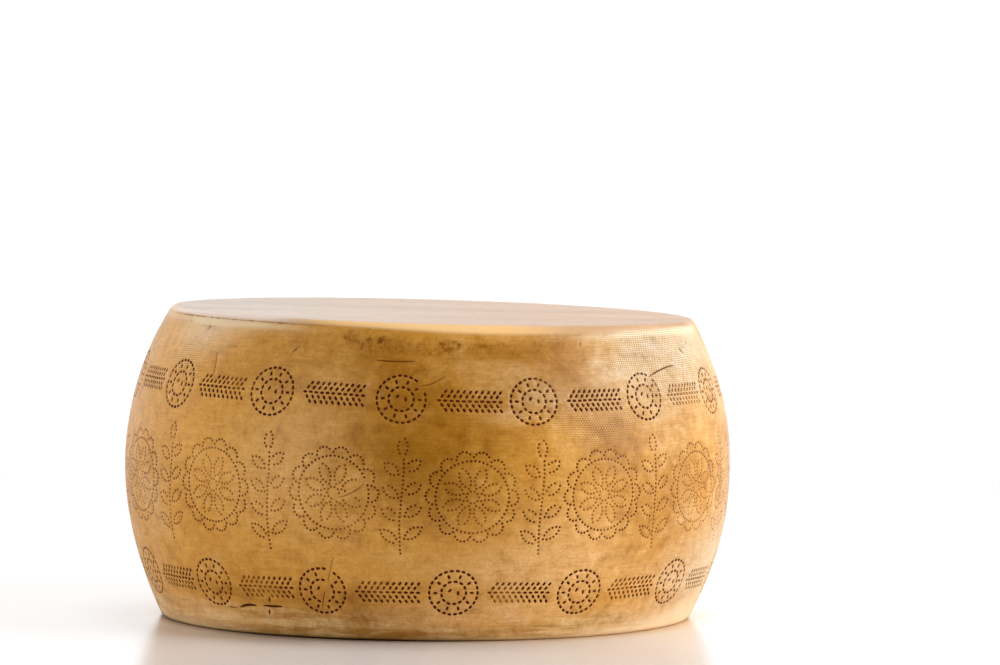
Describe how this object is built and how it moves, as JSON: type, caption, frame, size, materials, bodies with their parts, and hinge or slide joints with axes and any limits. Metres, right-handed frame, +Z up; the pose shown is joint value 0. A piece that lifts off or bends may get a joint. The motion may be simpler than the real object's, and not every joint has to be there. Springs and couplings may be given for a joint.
{
  "type": "cheese wheel",
  "caption": "Whole barrel-sided wheel of hard aged cheese with a golden rind, crisp rims and pricked bands of plain ornament, lying on its flat face.",
  "frame": {"origin": "on the floor under the middle of the bounding box", "axes": "+Z up, the wheel's axis; -Y is the front that the picture shows, and the top face falls slightly towards +X"},
  "size_m": [0.4294, 0.4294, 0.2195],
  "materials": {
    "rind": "dry golden rind with a waxy satin sheen"
  },
  "bodies": {
    "root": {"cheese_wheel": "rind"}
  },
  "joints": []
}
